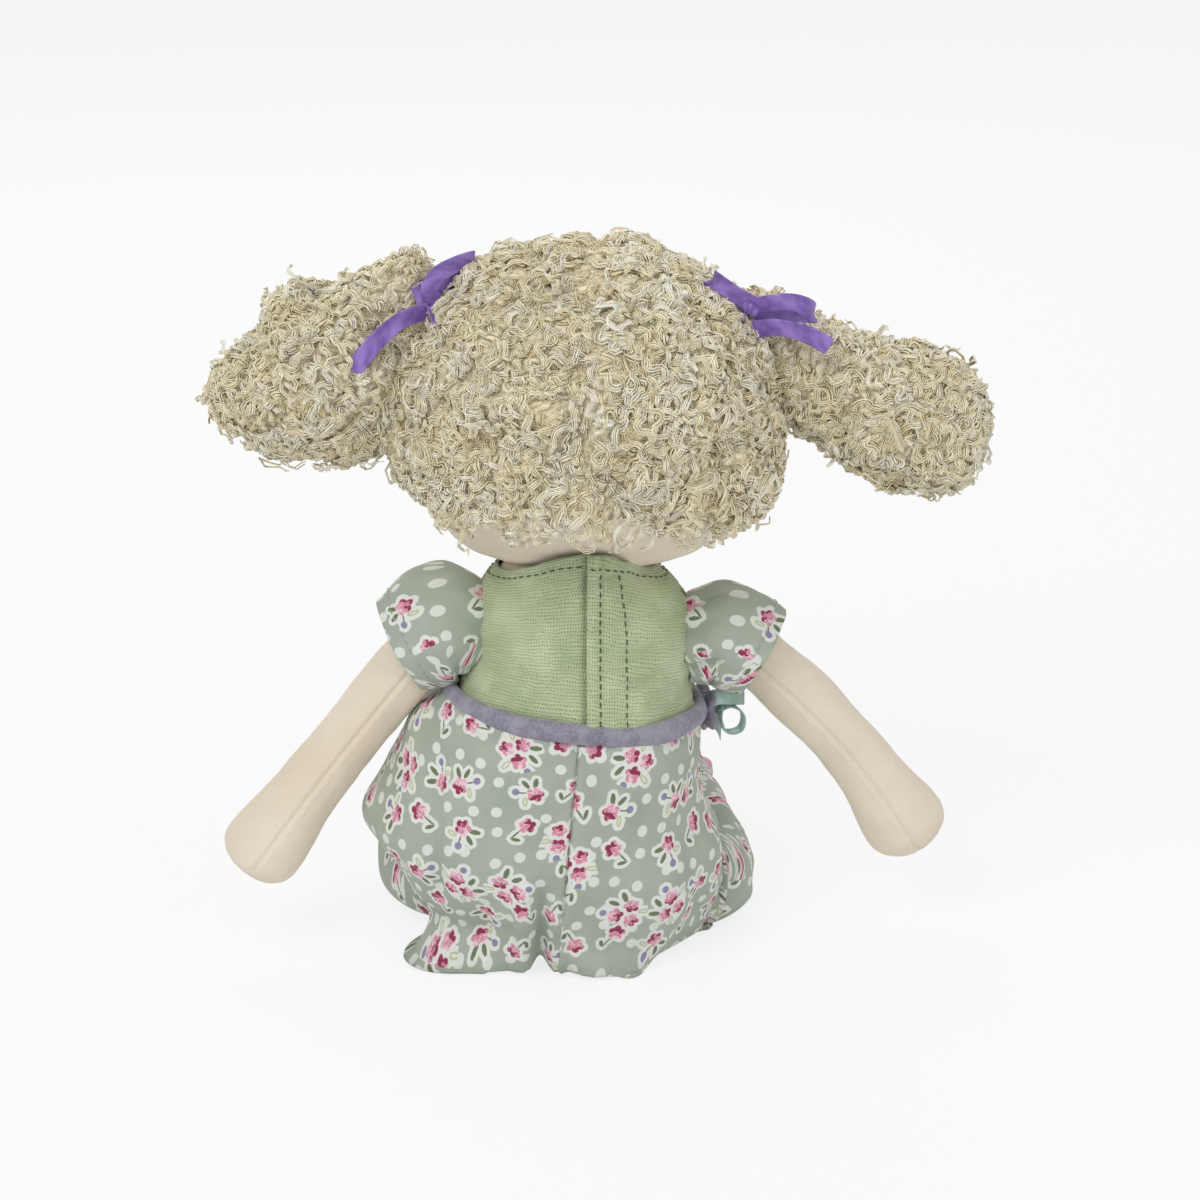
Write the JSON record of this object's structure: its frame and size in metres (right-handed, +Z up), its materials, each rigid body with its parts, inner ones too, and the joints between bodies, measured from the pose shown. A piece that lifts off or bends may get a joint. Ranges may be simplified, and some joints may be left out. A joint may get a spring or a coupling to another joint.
{
  "type": "rag doll",
  "caption": "Seated cloth rag doll with jointed limbs, a curly wig in bow-tied pigtails, a gauze bodice, puff sleeves and a floral balloon romper with a velour waist sash.",
  "frame": {"origin": "on the flat seat under the hips, where the doll rests on the floor", "axes": "+Z up, the doll faces -Y, its left side is +X"},
  "size_m": [0.264, 0.2285, 0.2555],
  "materials": {
    "cotton": "matte woven cotton",
    "filling": "loose white fibre",
    "gauze": "open-weave double gauze",
    "floral": "matte printed cotton",
    "velour": "short soft pile",
    "mint_satin": "satin ribbon",
    "purple_satin": "satin ribbon",
    "hair": "glossy curled fibre",
    "thread": "satin-stitched thread",
    "mouth_thread": "stitched thread",
    "tape": "hook-and-loop tape",
    "elastic": "covered elastic"
  },
  "bodies": {
    "torso": {"torso_skin": "cotton", "torso_stuffing": "filling", "bodice_front": "gauze", "bodice_back_left": "gauze", "bodice_back_right": "gauze", "closure_hook_tape": "tape", "closure_loop_tape": "tape", "romper_left": "floral", "romper_right": "floral", "waist_sash": "velour", "velour_petals": "velour", "satin_bow": "mint_satin"},
    "neck": {"neck_skin": "cotton", "neck_stuffing": "filling"},
    "head": {"head_skin": "cotton", "head_stuffing": "filling", "left_eye": "thread", "right_eye": "thread", "mouth": "mouth_thread", "wig_cap": "hair", "left_hair_elastic": "elastic", "right_hair_elastic": "elastic", "left_hair_bow": "purple_satin", "right_hair_bow": "purple_satin"},
    "left_shoulder": {"left_sleeve": "floral"},
    "right_shoulder": {"right_sleeve": "floral"},
    "left_arm": {"left_arm_skin": "cotton", "left_arm_stuffing": "filling"},
    "right_arm": {"right_arm_skin": "cotton", "right_arm_stuffing": "filling"},
    "left_leg": {"left_leg_skin": "cotton", "left_leg_stuffing": "filling", "left_romper_leg": "floral", "left_leg_elastic": "elastic"},
    "right_leg": {"right_leg_skin": "cotton", "right_leg_stuffing": "filling", "right_romper_leg": "floral", "right_leg_elastic": "elastic"},
    "left_pigtail": {"left_pigtail": "hair"},
    "right_pigtail": {"right_pigtail": "hair"}
  },
  "joints": [
    {"name": "neck_turn", "type": "hinge", "parent": "torso", "child": "neck", "pos_m": [0, -0.018, 0.14], "axis": [0, 0, 1], "range_deg": [-40, 40], "stiffness_Nm_per_rad": 0.15},
    {"name": "head_nod", "type": "hinge", "parent": "neck", "child": "head", "pos_m": [0, -0.018, 0.147], "axis": [1, 0, 0], "range_deg": [-12, 12], "stiffness_Nm_per_rad": 0.4},
    {"name": "left_arm_swing", "type": "hinge", "parent": "torso", "child": "left_shoulder", "pos_m": [0.047, -0.018, 0.113], "axis": [-0.9659, 0, -0.2588], "range_deg": [-45, 90]},
    {"name": "left_arm_raise", "type": "hinge", "parent": "left_shoulder", "child": "left_arm", "pos_m": [0.047, -0.018, 0.113], "axis": [0, -1, 0], "range_deg": [0, 28]},
    {"name": "right_arm_swing", "type": "hinge", "parent": "torso", "child": "right_shoulder", "pos_m": [-0.047, -0.018, 0.1095], "axis": [-0.9659, 0, 0.2588], "range_deg": [-45, 90]},
    {"name": "right_arm_raise", "type": "hinge", "parent": "right_shoulder", "child": "right_arm", "pos_m": [-0.047, -0.018, 0.1095], "axis": [0, 1, 0], "range_deg": [0, 28]},
    {"name": "left_hip", "type": "hinge", "parent": "torso", "child": "left_leg", "pos_m": [0.04, -0.034, 0.026], "axis": [1, 0, 0], "range_deg": [-15, 55]},
    {"name": "right_hip", "type": "hinge", "parent": "torso", "child": "right_leg", "pos_m": [-0.024, -0.034, 0.026], "axis": [1, 0, 0], "range_deg": [-15, 55]},
    {"name": "left_pigtail_lift", "type": "hinge", "parent": "head", "child": "left_pigtail", "pos_m": [0.056, -0.018, 0.224], "axis": [0, -1, 0], "range_deg": [0, 30]},
    {"name": "right_pigtail_lift", "type": "hinge", "parent": "head", "child": "right_pigtail", "pos_m": [-0.056, -0.018, 0.224], "axis": [0, 1, 0], "range_deg": [0, 30]}
  ]
}
